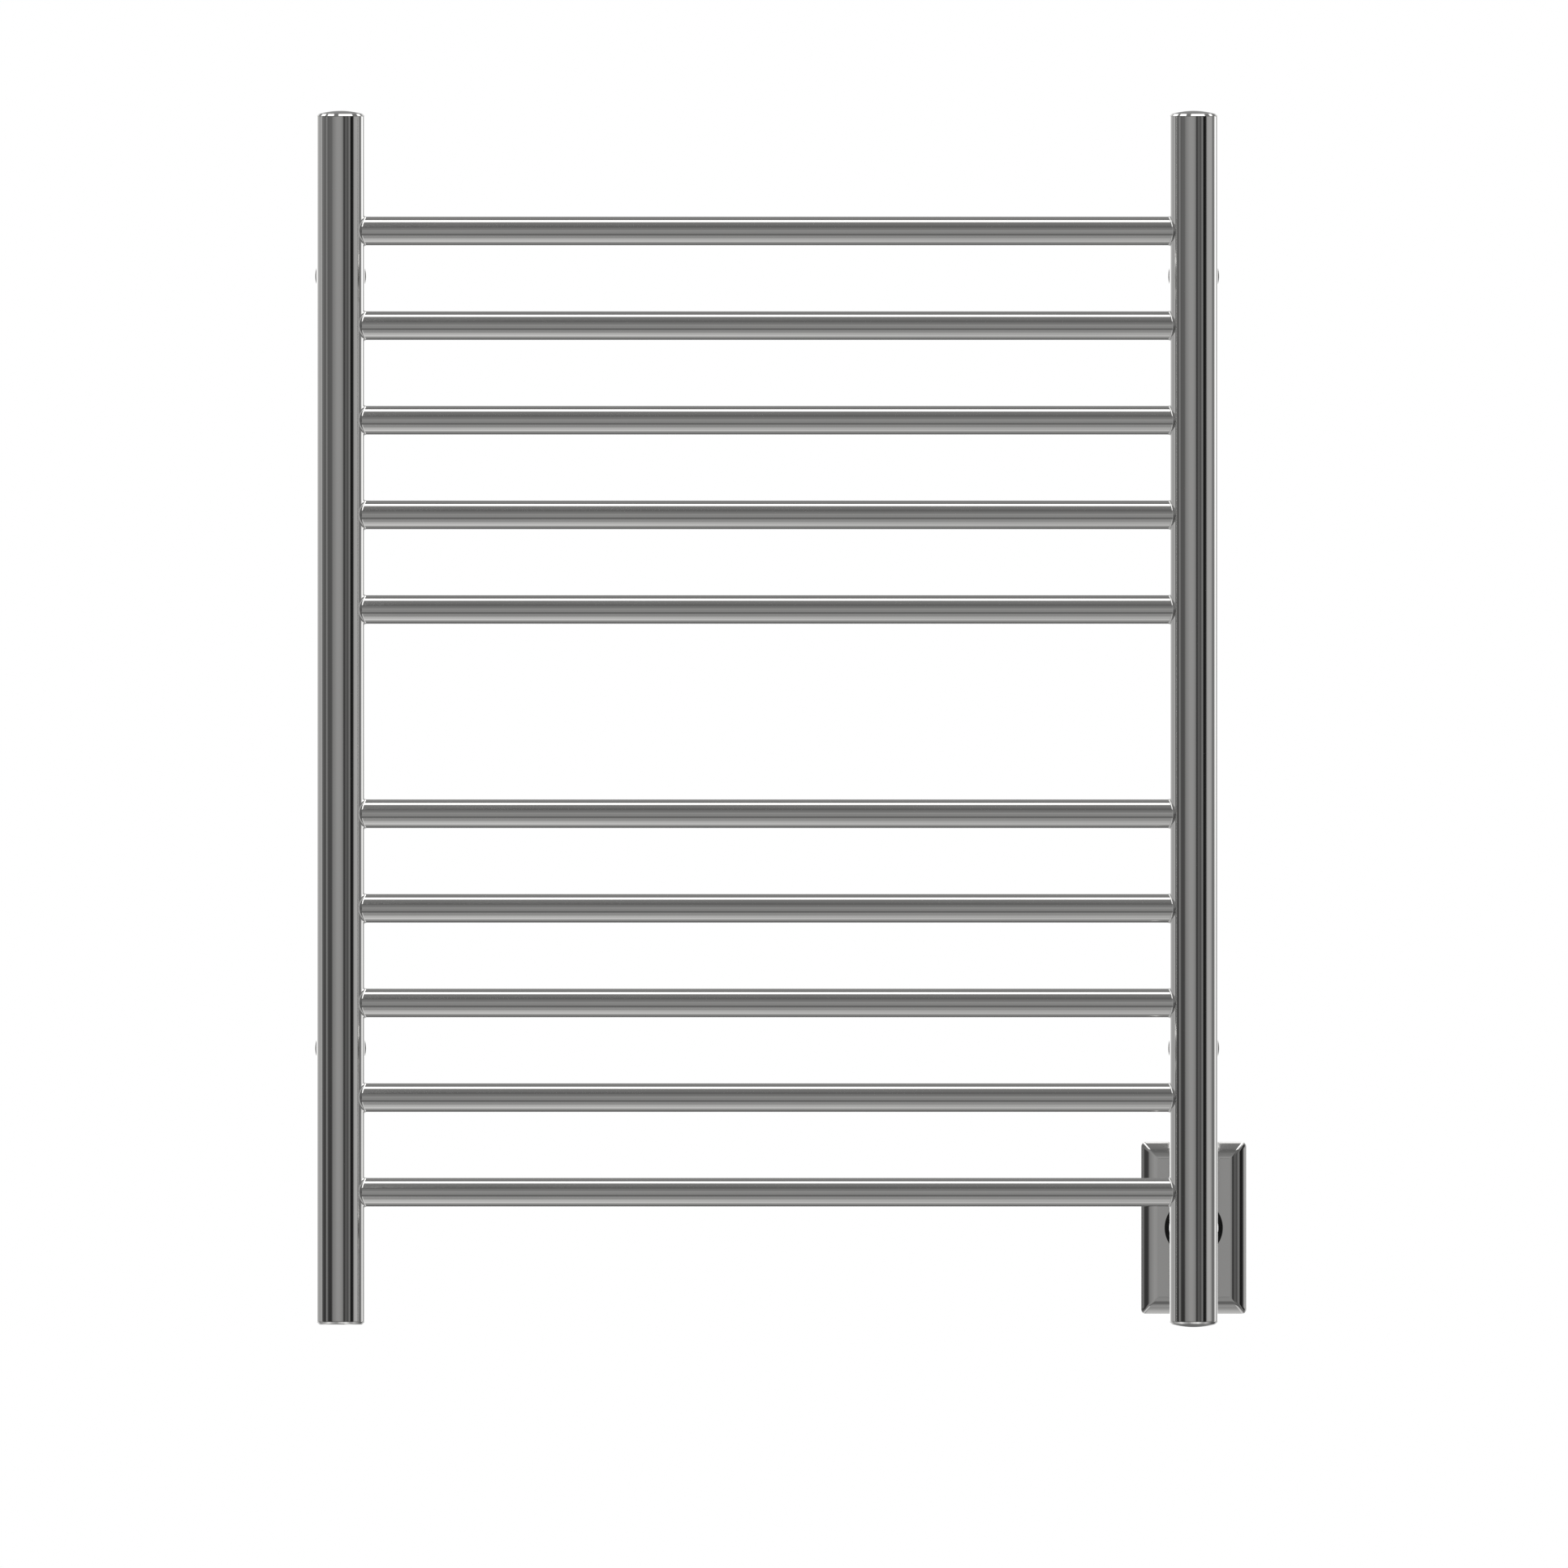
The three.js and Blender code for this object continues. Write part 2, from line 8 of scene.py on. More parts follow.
import bmesh
import bpy
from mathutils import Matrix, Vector


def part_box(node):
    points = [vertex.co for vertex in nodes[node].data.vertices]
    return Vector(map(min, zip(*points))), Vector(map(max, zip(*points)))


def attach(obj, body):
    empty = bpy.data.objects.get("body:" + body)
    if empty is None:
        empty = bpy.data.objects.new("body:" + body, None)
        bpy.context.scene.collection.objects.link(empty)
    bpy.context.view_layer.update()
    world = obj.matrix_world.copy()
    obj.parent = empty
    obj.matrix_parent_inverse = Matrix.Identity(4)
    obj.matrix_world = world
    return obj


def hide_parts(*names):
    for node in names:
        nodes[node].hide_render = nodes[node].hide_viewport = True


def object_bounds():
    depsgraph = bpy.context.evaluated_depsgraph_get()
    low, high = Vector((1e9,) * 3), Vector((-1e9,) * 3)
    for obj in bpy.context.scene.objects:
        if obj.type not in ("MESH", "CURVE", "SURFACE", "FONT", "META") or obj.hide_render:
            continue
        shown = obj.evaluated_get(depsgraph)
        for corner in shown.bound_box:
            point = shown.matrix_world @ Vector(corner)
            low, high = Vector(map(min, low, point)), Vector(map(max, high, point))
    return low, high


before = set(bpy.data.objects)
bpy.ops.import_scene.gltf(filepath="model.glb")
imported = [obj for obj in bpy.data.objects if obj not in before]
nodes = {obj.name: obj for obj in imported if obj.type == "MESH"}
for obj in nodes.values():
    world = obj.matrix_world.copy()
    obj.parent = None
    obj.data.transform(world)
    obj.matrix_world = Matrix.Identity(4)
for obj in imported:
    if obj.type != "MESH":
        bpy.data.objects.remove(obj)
cad_low, cad_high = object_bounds()

MM = 0.001
UP = Vector((0, 0, 1))
DOWN = -UP
ROOM = Vector((0, -1, 0))  # from the wall towards the room
RIGHT = Vector((1, 0, 0))

SIDES = ("left", "right")
CORNERS = ("upper_left", "upper_right", "lower_left", "lower_right")
BARS = [f"bar_{number:02d}" for number in range(1, 11)]


# ---- Places and sizes, from the frame ----------------------------------------------------------------

def middle(node):
    low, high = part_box(node)
    return (low + high) / 2


def extent(node):
    low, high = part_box(node)
    return high - low


POST_RADIUS = extent("post_left").x / 2
POST_LOW, POST_HIGH = (corner.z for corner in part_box("post_left"))
AXIS_PLANE = middle("post_left").y
BAR_RADIUS = extent("bar_01").z / 2
BAR_REACH = extent("bar_01").x / 2
ARM_RADIUS = extent("standoff_arm_upper_left").x / 2
CONDUIT_RADIUS = extent("power_conduit").x / 2
SUPPLY_Z = middle("power_conduit").z

GAP = 0.3 * MM
POST_WALL = 1.5 * MM
BAR_WALL = 1.2 * MM
ARM_WALL = 3 * MM
CONDUIT_WALL = 1.5 * MM
END_CHAMFER = 0.3 * MM
SLIVER = 0.001 * MM  # points nearer than this are one point
WELD = 1.5 * MM  # leg of the polished weld where a bar meets a post
ARM_WELD = 1.5 * MM
CONDUIT_WELD = 0.8 * MM
THINNEST_WELD = 0.02 * MM
WELD_SUNK = 0.3 * MM  # how far a weld's edge is sunk into the post
WELD_LIMIT = 0.985  # how near a weld's edge comes to the post's side, as a share of the post's radius
NEARLY_ZERO = 0.01  # keeps a division finite

# Sides of round pieces.
FINE = 128
MEDIUM = 96
SMALL = 48

# Degrees between two faces from which the edge between them is drawn sharp.
SHARP = 35
CAP_SHARP = 20
PLATE_SHARP = 50
THREAD_SHARP = 60

# Shared by pieces that meet, in millimetres.
SPIGOT_RADIUS = (POST_RADIUS - POST_WALL - GAP) / MM  # of a cap or the bezel, inside its post
SEAT = 0.02  # air between the end of a post and what closes it
SEAM = 0.18  # chamfer beside that air
SET_SCREW_HOLE = 2.8
WIRE_HOLE = 11
BUSHING_NECK = 17.3
PLATE_SCREW_SHANK = 1.7
CLEAR = 2  # how far a cutting shape runs past the face that it cuts


def post_point(side, z):
    return Vector((middle(f"post_{side}").x, AXIS_PLANE, z))


def wall_point(node):
    """The point on the wall behind a node's middle."""
    centre = middle(node)
    return Vector((centre.x, 0, centre.z))


# ---- Mesh helpers ------------------------------------------------------------------------------------

def as_object(name, mesh, sharp=SHARP):
    mesh.shade_smooth()
    mesh.set_sharp_from_angle(angle=math.radians(sharp))
    piece = bpy.data.objects.new(name, mesh)
    bpy.context.scene.collection.objects.link(piece)
    return piece


def skin(name, rings, closed=False, lids=False, sharp=SHARP):
    """A closed surface through rings of points. A ring of one point closes an end, lids close both ends
    with a flat face, and a closed skin runs from its last ring back to its first."""
    shell = bmesh.new()
    rows = [[shell.verts.new(point) for point in ring] for ring in rings]
    pairs = list(zip(rows, rows[1:]))
    if closed:
        pairs.append((rows[-1], rows[0]))
    for low, high in pairs:
        for i in range(max(len(low), len(high))):
            corners = [low[i % len(low)], low[(i + 1) % len(low)]]
            corners += [high[(i + 1) % len(high)], high[i % len(high)]]
            shell.faces.new(dict.fromkeys(corners))
    if lids:
        shell.faces.new(rows[0])
        shell.faces.new(rows[-1])
    bmesh.ops.recalc_face_normals(shell, faces=shell.faces)
    mesh = bpy.data.meshes.new(name)
    shell.to_mesh(mesh)
    shell.free()
    return as_object(name, mesh, sharp)


def around(origin, facing, place, radius_at, sides):
    """A ring of points about the axis, at a place along it, with the radius as a function of the angle."""
    across = UP if abs(facing.x) > 0.5 else RIGHT
    upward = facing.cross(across)
    points = []
    for i in range(sides):
        angle = 2 * math.pi * i / sides
        radius = radius_at(angle)
        turn = across * math.cos(angle) + upward * math.sin(angle)
        points.append(origin + facing * place + turn * radius)
    return points


def round_rings(origin, facing, outline, sides):
    """Rings for outline points (radius, place) in millimetres, places measured from origin along facing."""
    rings = []
    for radius, place in outline:
        if radius == 0:
            rings.append([origin + facing * place * MM])
        else:
            rings.append(around(origin, facing, place * MM, lambda angle: radius * MM, sides))
    return rings


def turned(name, origin, facing, outline, sides=MEDIUM, sharp=SHARP):
    """A turned piece. Its outline starts and ends on the axis, or closes on itself as a ring."""
    rings = round_rings(origin, facing, outline, sides)
    return skin(name, rings, closed=outline[0][0] > 0, sharp=sharp)


def arc(radius_centre, place_centre, radius, start, end, steps):
    """Outline points of an arc in degrees, both ends included."""
    points = []
    for i in range(steps + 1):
        angle = math.radians(start + (end - start) * i / steps)
        points.append((radius_centre + radius * math.cos(angle), place_centre + radius * math.sin(angle)))
    return points


def cut(piece, cutters):
    """Takes the cutters out of the piece, closes up the slivers this leaves and deletes the cutters."""
    for cutter in cutters:
        modifier = piece.modifiers.new("cut", "BOOLEAN")
        modifier.operation = "DIFFERENCE"
        modifier.solver = "EXACT"
        modifier.object = cutter
    bpy.context.view_layer.update()
    seen = piece.evaluated_get(bpy.context.evaluated_depsgraph_get())
    mesh = bpy.data.meshes.new_from_object(seen)
    piece.modifiers.clear()
    shell = bmesh.new()
    shell.from_mesh(mesh)
    bmesh.ops.remove_doubles(shell, verts=shell.verts, dist=SLIVER)
    bmesh.ops.dissolve_degenerate(shell, edges=shell.edges, dist=SLIVER)
    shell.to_mesh(mesh)
    shell.free()
    mesh.name = piece.name
    piece.data = mesh
    mesh.set_sharp_from_angle(angle=math.radians(SHARP))
    for cutter in cutters:
        bpy.data.objects.remove(cutter)
    return piece


def plug(origin, facing, radius, start, end, sides=SMALL):
    """A plain cylinder that cuts a hole."""
    return turned("plug", origin, facing, [(0, start), (radius, start), (radius, end), (0, end)], sides)


def stand_for(piece, node, material, body="frame"):
    """The piece takes the place of one CAD node, which is hidden; it gets the given material and joins the
    body.
    """
    piece.data.materials.clear()
    piece.data.materials.append(material)
    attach(piece, body)
    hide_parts(node)
    return piece


# ---- Materials ---------------------------------------------------------------------------------------

def new_material(name, **values):
    material = bpy.data.materials.new(name)
    material.use_nodes = True
    surface = material.node_tree.nodes["Principled BSDF"]
    for socket, value in values.items():
        surface.inputs[socket.replace("_", " ")].default_value = value
    return material, surface


def noise(material, scale, stretch=(1, 1, 1), detail=4):
    """A noise between 0 and 1, fixed to the object, with scale features in a metre along a stretch of 1."""
    tree = material.node_tree
    place = tree.nodes.new("ShaderNodeTexCoord")
    mapping = tree.nodes.new("ShaderNodeMapping")
    mapping.inputs["Scale"].default_value = stretch
    texture = tree.nodes.new("ShaderNodeTexNoise")
    texture.inputs["Scale"].default_value = scale
    texture.inputs["Detail"].default_value = detail
    tree.links.new(place.outputs["Object"], mapping.inputs["Vector"])
    tree.links.new(mapping.outputs["Vector"], texture.inputs["Vector"])
    return texture.outputs["Fac"]


def vary(surface, socket, factor, low, high):
    """Runs a socket of the shader from low to high over the middle half of a noise."""
    tree = surface.id_data
    span = tree.nodes.new("ShaderNodeMapRange")
    span.inputs["From Min"].default_value = 0.25
    span.inputs["From Max"].default_value = 0.75
    span.inputs["To Min"].default_value = low
    span.inputs["To Max"].default_value = high
    tree.links.new(factor, span.inputs["Value"])
    tree.links.new(span.outputs["Result"], surface.inputs[socket])


def tint(surface, factor, dark, light):
    """Runs the base colour from dark to light over the middle half of a noise."""
    tree = surface.id_data
    ramp = tree.nodes.new("ShaderNodeValToRGB")
    ramp.color_ramp.elements[0].position = 0.25
    ramp.color_ramp.elements[1].position = 0.75
    ramp.color_ramp.elements[0].color = (*dark, 1)
    ramp.color_ramp.elements[1].color = (*light, 1)
    tree.links.new(factor, ramp.inputs["Fac"])
    tree.links.new(ramp.outputs["Color"], surface.inputs["Base Color"])


def bump(surface, factor, depth, strength=1.0):
    """Raises the surface by up to depth metres over a noise."""
    tree = surface.id_data
    relief = tree.nodes.new("ShaderNodeBump")
    relief.inputs["Distance"].default_value = depth
    relief.inputs["Strength"].default_value = strength
    tree.links.new(factor, relief.inputs["Height"])
    tree.links.new(relief.outputs["Normal"], surface.inputs["Normal"])


def polished_steel(axis):
    """Mirror-polished stainless steel. Faint polishing lines run round the axis, and the gloss is a little
    uneven, as it is on a tube that was buffed in passes."""
    material, surface = new_material(f"polished_steel_{axis}", Metallic=1.0)
    along = {"x": (1, 0.02, 0.02), "y": (0.02, 1, 0.02), "z": (0.02, 0.02, 1)}[axis]
    lines = noise(material, 2600, along, detail=2)
    haze = noise(material, 14, detail=3)
    vary(surface, "Roughness", haze, 0.035, 0.07)
    tint(surface, haze, (0.652, 0.647, 0.636), (0.668, 0.663, 0.651))
    bump(surface, lines, 0.0001 * MM)
    return material


def zinc_steel():
    """Bright zinc plate over turned steel, greyer and duller than the rack."""
    material, surface = new_material("zinc_plate", Metallic=1.0)
    clouds = noise(material, 60, detail=5)
    grain = noise(material, 2400, detail=3)
    vary(surface, "Roughness", clouds, 0.26, 0.42)
    tint(surface, clouds, (0.50, 0.51, 0.53), (0.62, 0.62, 0.61))
    bump(surface, grain, 0.02 * MM, 0.4)
    return material


def black_plastic():
    """Moulded black plastic with a fine, slightly glossy skin."""
    material, surface = new_material("black_plastic", Specular_IOR_Level=0.22)
    skin_noise = noise(material, 1800, detail=3)
    cloud = noise(material, 70, detail=2)
    vary(surface, "Roughness", cloud, 0.42, 0.54)
    tint(surface, cloud, (0.004, 0.004, 0.004), (0.008, 0.008, 0.008))
    bump(surface, skin_noise, 0.03 * MM, 0.3)
    return material


def black_rubber():
    """Moulded rubber: matt, with a dusty bloom."""
    material, surface = new_material("black_rubber", Specular_IOR_Level=0.3)
    bloom = noise(material, 120, detail=5)
    pores = noise(material, 3000, detail=2)
    vary(surface, "Roughness", bloom, 0.55, 0.75)
    tint(surface, bloom, (0.010, 0.010, 0.010), (0.026, 0.025, 0.024))
    bump(surface, pores, 0.04 * MM, 0.4)
    return material


def moulded(name, dark, light, roughness, subsurface):
    """Pale moulded plastic or silicone, a little translucent, with a faint mould texture."""
    material, surface = new_material(name, Subsurface_Weight=subsurface, Subsurface_Scale=0.5 * MM)
    cloud = noise(material, 90, detail=4)
    texture = noise(material, 2200, detail=3)
    vary(surface, "Roughness", cloud, roughness - 0.06, roughness + 0.08)
    tint(surface, cloud, dark, light)
    bump(surface, texture, 0.03 * MM, 0.35)
    return material


STEEL = {axis: polished_steel(axis) for axis in "xyz"}
ZINC = zinc_steel()
PLASTIC = black_plastic()
RUBBER = black_rubber()
NYLON = moulded("nylon", (0.62, 0.59, 0.52), (0.72, 0.69, 0.62), 0.5, 0.1)
SILICONE = moulded("heating_silicone", (0.36, 0.085, 0.040), (0.46, 0.12, 0.055), 0.42, 0.15)
SHEATH = moulded("lead_sheath", (0.72, 0.71, 0.68), (0.80, 0.79, 0.76), 0.4, 0.1)


# ---- Tubes welded to a post --------------------------------------------------------------------------

def weld_stations(angle, radius, weld, entry):
    """Stations (distance from the post's axis, radius) of a tube's outside near the post, from its end
    inside the weld out to the plain tube. The angle is measured round the tube from the direction that
    lies across both axes. With no entry the tube stops on the post's surface."""
    across = abs(math.cos(angle))

    def surface(at_radius):
        return math.sqrt(max(POST_RADIUS ** 2 - (at_radius * across) ** 2, 0))

    room = WELD_LIMIT * POST_RADIUS / max(across, NEARLY_ZERO) - radius
    leg = max(min(weld, room), THINNEST_WELD)
    foot = Vector((surface(radius + leg), radius + leg))
    corner = Vector((surface(radius), radius))
    start = corner + Vector((leg, 0))
    sunk = Vector((WELD_SUNK, 0))
    end = Vector((entry, radius)) if entry else corner - 1.5 * sunk
    stations = [end, corner - sunk, foot - sunk]
    steps = 8
    for i in range(steps + 1):
        t = i / steps
        stations.append(foot * (1 - t) ** 2 + corner * 2 * t * (1 - t) + start * t ** 2)
    return stations


def welded_end(axis_point, facing, radius, wall, weld, entry, sides):
    """Rings of a tube's welded end, from the inner edge of its end face to the plain tube."""
    across = facing.cross(UP)
    columns = []
    for i in range(sides):
        angle = 2 * math.pi * i / sides
        turn = across * math.cos(angle) + UP * math.sin(angle)
        stations = weld_stations(angle, radius, weld, entry)
        inner = weld_stations(angle, radius - wall, 0, entry)[0]
        outline = [inner] + stations
        columns.append([axis_point + facing * place + turn * reach for place, reach in outline])
    return [list(ring) for ring in zip(*columns)]


def bar(node):
    """A bar from post to post. Both its ends run out into the polished welds."""
    z = middle(node).z
    span = post_point("right", z).x
    entry = span - BAR_REACH
    shape = (BAR_RADIUS, BAR_WALL, WELD, entry, MEDIUM)
    left = welded_end(post_point("left", z), RIGHT, *shape)
    right = welded_end(post_point("right", z), -RIGHT, *shape)
    mirrored = [[ring[-i] for i in range(len(ring))] for ring in right]
    turned_half = [ring[len(ring) // 2:] + ring[:len(ring) // 2] for ring in mirrored]
    return skin(f"{node}_tube", left + turned_half[::-1], closed=True)


def back_tube(name, axis_point, radius, wall, weld, back, edge):
    """A tube that runs from the back of a post towards the wall, with a chamfered free end."""
    rings = welded_end(axis_point, -ROOM, radius, wall, weld, None, MEDIUM)
    foot = Vector((axis_point.x, back, axis_point.z))
    outline = [(radius, edge), (radius - edge, 0), (radius - wall + edge, 0), (radius - wall, edge)]
    outline = [(reach / MM, place / MM) for reach, place in outline]
    ends = round_rings(foot, ROOM, outline, MEDIUM)
    return skin(name, rings + ends, closed=True)


# ---- Frame -------------------------------------------------------------------------------------------

def post(side):
    """A post, drilled for the bars on its inner side, and on the right for the supply wires at its back."""
    foot = post_point(side, POST_LOW)
    length = (POST_HIGH - POST_LOW) / MM
    outer = POST_RADIUS / MM
    inner = outer - POST_WALL / MM
    edge = END_CHAMFER / MM
    heights = sorted((middle(node).z - POST_LOW) / MM for node in BARS)
    collar = (BAR_RADIUS + WELD) / MM
    loops = [height + sign * collar for height in heights for sign in (-1, 1)]
    outline = [(inner, edge), (inner + edge, 0), (outer - edge, 0), (outer, edge)]
    outline += [(outer, loop) for loop in loops]
    outline += [(outer, length - edge), (outer - edge, length)]
    outline += [(inner + edge, length), (inner, length - edge)]
    tube = turned(f"post_{side}_tube", foot, UP, outline, FINE)
    inward = RIGHT if side == "left" else -RIGHT
    hole = (BAR_RADIUS + GAP) / MM
    reach = outer + CLEAR
    holes = [plug(post_point(side, middle(node).z), inward, hole, 0, reach, MEDIUM) for node in BARS]
    if side == "right":
        holes.append(plug(post_point(side, SUPPLY_Z), -ROOM, WIRE_HOLE, 0, reach))
    return cut(tube, holes)


def spigot_side(end):
    """Outside of a spigot and of the flange over it, from the spigot's chamfered end to the seam."""
    outer = POST_RADIUS / MM
    side = [(SPIGOT_RADIUS - 0.4, end), (SPIGOT_RADIUS, end + 0.6), (SPIGOT_RADIUS, SEAT)]
    return side + [(outer - SEAM, SEAT), (outer, SEAT + SEAM)]


def domed_cap(name, end, facing):
    """Turned cap with a chamfered rim and a shallow dome. Its hollow spigot is inside the post."""
    height = 3.6
    chamfer = 1.3
    underside = 0.3
    spigot_end = -8
    hollow = SPIGOT_RADIUS - 1.5
    outline = [(0, underside), (hollow, underside), (hollow, spigot_end), *spigot_side(spigot_end)]
    dome_radius = POST_RADIUS / MM - chamfer
    dome_foot = SEAT + SEAM + chamfer
    steps = 14
    for i in range(steps, -1, -1):
        share = i / steps
        outline.append((dome_radius * share, height - (height - dome_foot) * share ** 2))
    return turned(name, end, facing, outline, sharp=CAP_SHARP)


def switch_bezel(end):
    """Ring round the button, with a chamfered rim that rolls over to its face."""
    height = 1.9
    chamfer = 0.9
    roll = 1.5
    bore = 9.6
    bore_edge = 0.35
    spigot_end = -12
    rim = POST_RADIUS / MM - chamfer
    rim_height = SEAT + SEAM + chamfer
    outline = [(bore, spigot_end), *spigot_side(spigot_end), (rim, rim_height)]
    for share in (0.25, 0.5, 0.75, 1):
        outline.append((rim - roll * share, height - (height - rim_height) * (1 - share) ** 2))
    outline += arc(bore + bore_edge, height - bore_edge, bore_edge, 90, 180, 4)
    return turned("switch_bezel_ring", end, DOWN, outline, sharp=CAP_SHARP)


def switch_button(end):
    """Push button with a shallow dish and a rounded edge, on its stem."""
    radius = 9.2
    face = 1.7
    edge = 0.4
    dish = 7.4
    dish_depth = 0.35
    skirt = -6
    stem = 4
    stem_end = -18
    outline = [(0, stem_end), (stem - edge, stem_end), (stem, stem_end + edge), (stem, skirt)]
    outline += [(radius, skirt), (radius, face - edge)]
    outline += arc(radius - edge, face - edge, edge, 15, 90, 4)
    steps = 8
    for i in range(steps, -1, -1):
        share = i / steps
        outline.append((dish * share, face - dish_depth * (1 - share ** 2)))
    return turned("switch_button_face", end, DOWN, outline)


# ---- Standoffs ---------------------------------------------------------------------------------------

def standoff_arm(corner):
    """Arm from the post's back to the boss, tapped from below for the set screw."""
    node = f"standoff_arm_{corner}"
    centre = middle(node)
    axis_point = Vector((centre.x, AXIS_PLANE, centre.z))
    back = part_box(node)[1].y
    tube = back_tube(f"{node}_tube", axis_point, ARM_RADIUS, ARM_WALL, ARM_WELD, back, END_CHAMFER)
    screw = middle(f"set_screw_{corner}")
    hole = plug(Vector((screw.x, screw.y, centre.z)), DOWN, SET_SCREW_HOLE, 0, ARM_RADIUS / MM + CLEAR)
    return cut(tube, [hole])


def cover_sleeve(corner):
    """Slip-on cover with a rolled front edge."""
    node = f"cover_sleeve_{corner}"
    low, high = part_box(node)
    outer = (high.x - low.x) / 2 / MM
    bore = 15.3
    edge = 0.2
    roll = 0.8
    front = -low.y / MM
    back = -high.y / MM
    outline = [(bore, back + edge), (bore + edge, back), (outer - edge, back), (outer, back + edge)]
    outline += arc(outer - roll, front - roll, roll, 0, 90, 8)
    outline += [(bore + edge, front), (bore, front - edge)]
    return turned(f"{node}_tube", wall_point(node), ROOM, outline)


def wall_boss(corner):
    """Round cup on the wall that the arm slips over, with a dimple underneath for the set screw."""
    node = f"wall_boss_{corner}"
    hole = 2.8
    base = 14.8
    base_front = 5
    spigot = 11.7
    front = 35
    cup = 6.5
    cup_floor = 6
    back_edge = 0.3
    edge = 0.4
    lead_in = 0.6
    outline = [(hole, 0), (base - back_edge, 0), (base, back_edge), (base, base_front - edge)]
    outline += [(base - edge, base_front), (spigot, base_front), (spigot, front - lead_in)]
    outline += [(spigot - lead_in, front), (cup + edge, front), (cup, front - edge)]
    outline += [(cup, cup_floor), (hole, cup_floor)]
    boss = turned(f"{node}_cup", wall_point(node), ROOM, outline)
    screw = middle(f"set_screw_{corner}")
    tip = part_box(f"set_screw_{corner}")[1].z
    past_spigot = 6
    dimple = plug(Vector((screw.x, screw.y, tip)), DOWN, SET_SCREW_HOLE, -GAP / MM, past_spigot)
    return cut(boss, [dimple])


RINGS_PER_TURN = 8  # of a thread


def thread_rings(origin, facing, core, crest, pitch, start, end, taper):
    """Rings of a screw thread between two places on its axis, in millimetres, drawn in to its point."""
    rings = []
    count = round(abs(end - start) / pitch * RINGS_PER_TURN)
    for i in range(count):
        place = start + (end - start) * i / count
        left = abs(end - place)
        draw = min(1, left / taper)

        def radius_at(angle, place=place, draw=draw):
            phase = (place / pitch + angle / (2 * math.pi)) % 1
            ridge = 1 - abs(2 * phase - 1)
            return (core + (crest - core) * ridge) * draw * MM

        rings.append(around(origin, facing, place * MM, radius_at, SMALL))
    rings.append([origin + facing * end * MM])
    return rings


WEDGE_PROUD = 0.6  # how far a cutting wedge stands out of the head, in millimetres
WEDGE_TOP = 1.1  # its size there and at its foot, as shares of the recess's size at the head's face
WEDGE_FOOT = 0.55


def wedge(origin, facing, width, length, depth):
    """A tapered bar that cuts one arm of a recess, sunk into the head by depth millimetres."""
    rings = []
    upward = facing.cross(RIGHT)
    for place, share in ((WEDGE_PROUD, WEDGE_TOP), (-depth, WEDGE_FOOT)):
        x = length / 2 * share * MM
        z = width / 2 * share * MM
        corners = ((x, z), (-x, z), (-x, -z), (x, -z))
        rings.append([origin + facing * place * MM + RIGHT * a + upward * b for a, b in corners])
    rings.insert(0, [sum(rings[0], Vector()) / 4])
    rings.append([sum(rings[-1], Vector()) / 4])
    return skin("wedge", rings)


def wall_screw(corner):
    """Pan-head wood screw with a cross recess. Its thread runs on behind the wall's surface."""
    node = f"wall_screw_{corner}"
    origin = wall_point(node)
    low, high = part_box(node)
    top = -low.y / MM
    end = -high.y / MM
    head = (high.x - low.x) / 2 / MM
    seat = top - 3
    edge = 0.2
    roll = 1.1
    shank = 2.2
    plain_end = seat - 3
    outline = [(0, top), (head * 0.35, top - 0.06), (head * 0.7, top - 0.24)]
    outline += arc(head - roll, seat + edge + roll, roll, 65, 0, 5)
    outline += [(head, seat + edge), (head - edge, seat), (shank, seat), (shank, plain_end)]
    rings = round_rings(origin, ROOM, outline, SMALL)
    thread = {"core": 1.5, "crest": shank, "pitch": 1.8, "taper": 5}
    rings += thread_rings(origin, ROOM, start=plain_end - edge, end=end, **thread)
    screw = skin(f"{node}_body", rings, sharp=THREAD_SHARP)
    face = origin + ROOM * top * MM
    arm_width = 1.2
    arm_length = 5.4
    depth = 1.9
    first = wedge(face, ROOM, arm_width, arm_length, depth)
    second = wedge(face, ROOM, arm_length, arm_width, depth)
    return cut(screw, [first, second])


def set_screw(corner):
    """Socket set screw with a cup point."""
    node = f"set_screw_{corner}"
    low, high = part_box(node)
    foot = Vector(((low.x + high.x) / 2, (low.y + high.y) / 2, low.z))
    length = (high.z - low.z) / MM
    radius = 2.5
    chamfer = 0.35
    ridges = 5
    ridge_height = 0.3
    ridges_start = 0.45
    ridges_length = length - 1.2
    socket = 1.45
    socket_depth = 2.1
    outline = [(0, 0), (radius - chamfer, 0), (radius, chamfer)]
    for i in range(ridges * 2):
        groove = ridge_height if i % 2 else 0
        outline.append((radius - groove, ridges_start + ridges_length * i / (ridges * 2)))
    outline += [(radius - 0.5, length - 0.4), (radius - 0.9, length), (1.1, length), (0, length - 0.6)]
    screw = turned(f"{node}_body", foot, UP, outline, SMALL)
    return cut(screw, [plug(foot, UP, socket, -CLEAR / 2, socket_depth, sides=6)])


# ---- Supply side -------------------------------------------------------------------------------------

PLATE_BORDER = 11
PLATE_SLOPE = 3.5  # degrees that the border turns down for each millimetre from the flat
PLATE_CORNER = 2.7
PLATE_SKIN = 1.2
PLATE_GROOVE = 0.14  # radius of the groove along the crease over and under the flat
PLATE_RIM = 0.15  # rounding of the outer edge
PLATE_EASE = 0.4  # width of the rings and points beside an edge that keep its shading to itself
PLATE_ROUND = 0.12  # rounding left at the corners of the flat


def plate_height(inset, full):
    """Height of the plate's face, inset millimetres in from its edge: a border that turns down more and
    more from the crease to the rim, and a flat."""
    run = PLATE_BORDER - inset
    if run <= 0:
        return full
    turn = math.radians(PLATE_SLOPE)
    return full + math.log(math.cos(turn * run)) / turn


